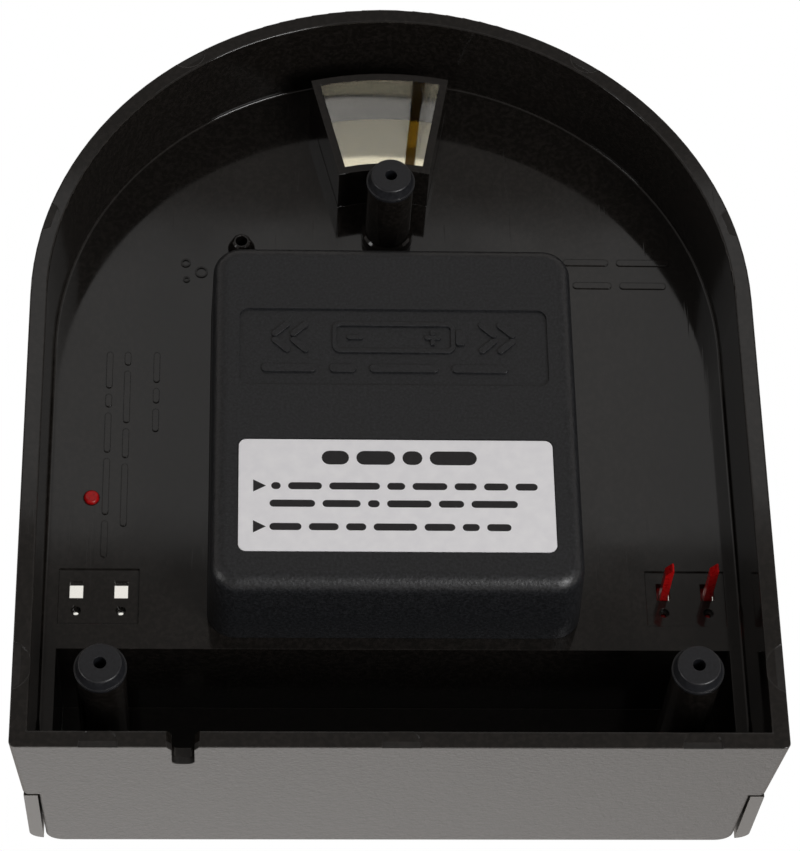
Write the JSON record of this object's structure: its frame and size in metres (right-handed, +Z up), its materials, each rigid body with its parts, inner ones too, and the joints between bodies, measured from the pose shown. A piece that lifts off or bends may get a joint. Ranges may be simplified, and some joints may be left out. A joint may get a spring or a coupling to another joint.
{
  "type": "automatic fish feeder",
  "caption": "D-shaped automatic aquarium feeder with a clear hinged lid, a ring of food cells turned by a quartz timer, a drop chute and an air nozzle underneath.",
  "frame": {"origin": "on the ground, under the middle of the housing's outline", "axes": "+Z up through the lid, -Y out of the flat front, +X to the right seen from the front"},
  "size_m": [0.142, 0.168, 0.0505],
  "materials": {
    "housing_black": "glossy inside, fine spark texture outside",
    "cover_black": "fine satin texture",
    "label_white": "printed, matt",
    "foot_rubber": "matt",
    "lid_smoke": "clear smoke tint, glossy",
    "rotor_amber": "translucent smoke amber",
    "red_plastic": "satin",
    "dial_white": "satin",
    "movement_black": "satin",
    "gear_white": "satin",
    "steel": "satin",
    "copper_wire": "enamelled",
    "bobbin_cream": "satin",
    "board_green": "satin",
    "chip_resin": "glossy",
    "can_silver": "bright",
    "magnet_grey": "dull",
    "cell_wrap": "satin"
  },
  "bodies": {
    "housing": {"base_shell": "housing_black", "foot_left": "foot_rubber", "foot_right": "foot_rubber", "foot_rear": "foot_rubber", "hinge_pins": "steel", "timer_case": "movement_black", "timer_plate": "movement_black", "case_screws": "steel", "stator": "steel", "coil_bobbin": "bobbin_cream", "coil_winding": "copper_wire", "circuit_board": "board_green", "quartz_crystal": "can_silver", "timer_chip": "chip_resin", "aa_cell": "cell_wrap", "contact_positive": "can_silver", "contact_negative": "can_silver"},
    "battery_cover": {"battery_cover": "cover_black", "cover_label": "label_white"},
    "lid": {"lid": "lid_smoke"},
    "food_rotor": {"food_rotor": "rotor_amber"},
    "rotor_catch": {"rotor_catch": "red_plastic"},
    "spare_pin_inner": {"spare_pin_inner": "red_plastic"},
    "spare_pin_outer": {"spare_pin_outer": "red_plastic"},
    "timer_dial": {"timer_dial": "dial_white", "trip_pin_a": "red_plastic", "trip_pin_b": "red_plastic", "day_wheel": "gear_white"},
    "second_wheel": {"second_wheel": "gear_white"},
    "third_wheel": {"third_wheel": "gear_white"},
    "motor_rotor": {"motor_pinion": "gear_white", "motor_magnet": "magnet_grey"}
  },
  "joints": [
    {"name": "lid_hinge", "type": "hinge", "parent": "housing", "child": "lid", "pos_m": [0, -0.07823, 0.0419], "axis": [1, 0, 0], "range_deg": [0, 100]},
    {"name": "rotor_spin", "type": "hinge", "parent": "housing", "child": "food_rotor", "pos_m": [0, 0.013, 0.035], "axis": [0, 0, 1], "continuous": true},
    {"name": "third_wheel_spin", "type": "hinge", "parent": "housing", "child": "third_wheel", "pos_m": [-0.00096, -0.01867, 0.015], "axis": [0, 0, 1], "continuous": true},
    {"name": "motor_spin", "type": "hinge", "parent": "housing", "child": "motor_rotor", "pos_m": [0.01129, -0.01867, 0.015], "axis": [0, 0, 1], "continuous": true},
    {"name": "second_wheel_spin", "type": "hinge", "parent": "housing", "child": "second_wheel", "pos_m": [-0.01061, -0.01112, 0.015], "axis": [0, 0, 1], "continuous": true},
    {"name": "dial_spin", "type": "hinge", "parent": "housing", "child": "timer_dial", "pos_m": [0, -0.005, 0.03], "axis": [0, 0, 1], "continuous": true},
    {"name": "battery_cover_pull", "type": "slide", "parent": "housing", "child": "battery_cover", "axis": [0, 0, -1], "range_m": [0, 0.03]},
    {"name": "spare_pin_inner_lift", "type": "slide", "parent": "housing", "child": "spare_pin_inner", "axis": [0, 0, 1], "range_m": [0, 0.0165]},
    {"name": "spare_pin_outer_lift", "type": "slide", "parent": "housing", "child": "spare_pin_outer", "axis": [0, 0, 1], "range_m": [0, 0.0165]},
    {"name": "rotor_catch_swivel", "type": "hinge", "parent": "housing", "child": "rotor_catch", "pos_m": [0.05873, -0.02152, 0.025], "axis": [0, 0, 1], "range_deg": [0, 90]}
  ],
  "couplings": [
    {"joint": "motor_spin", "follows": "third_wheel_spin", "ratio": -6},
    {"joint": "second_wheel_spin", "follows": "third_wheel_spin", "ratio": -0.16667},
    {"joint": "dial_spin", "follows": "third_wheel_spin", "ratio": 0.027778}
  ]
}
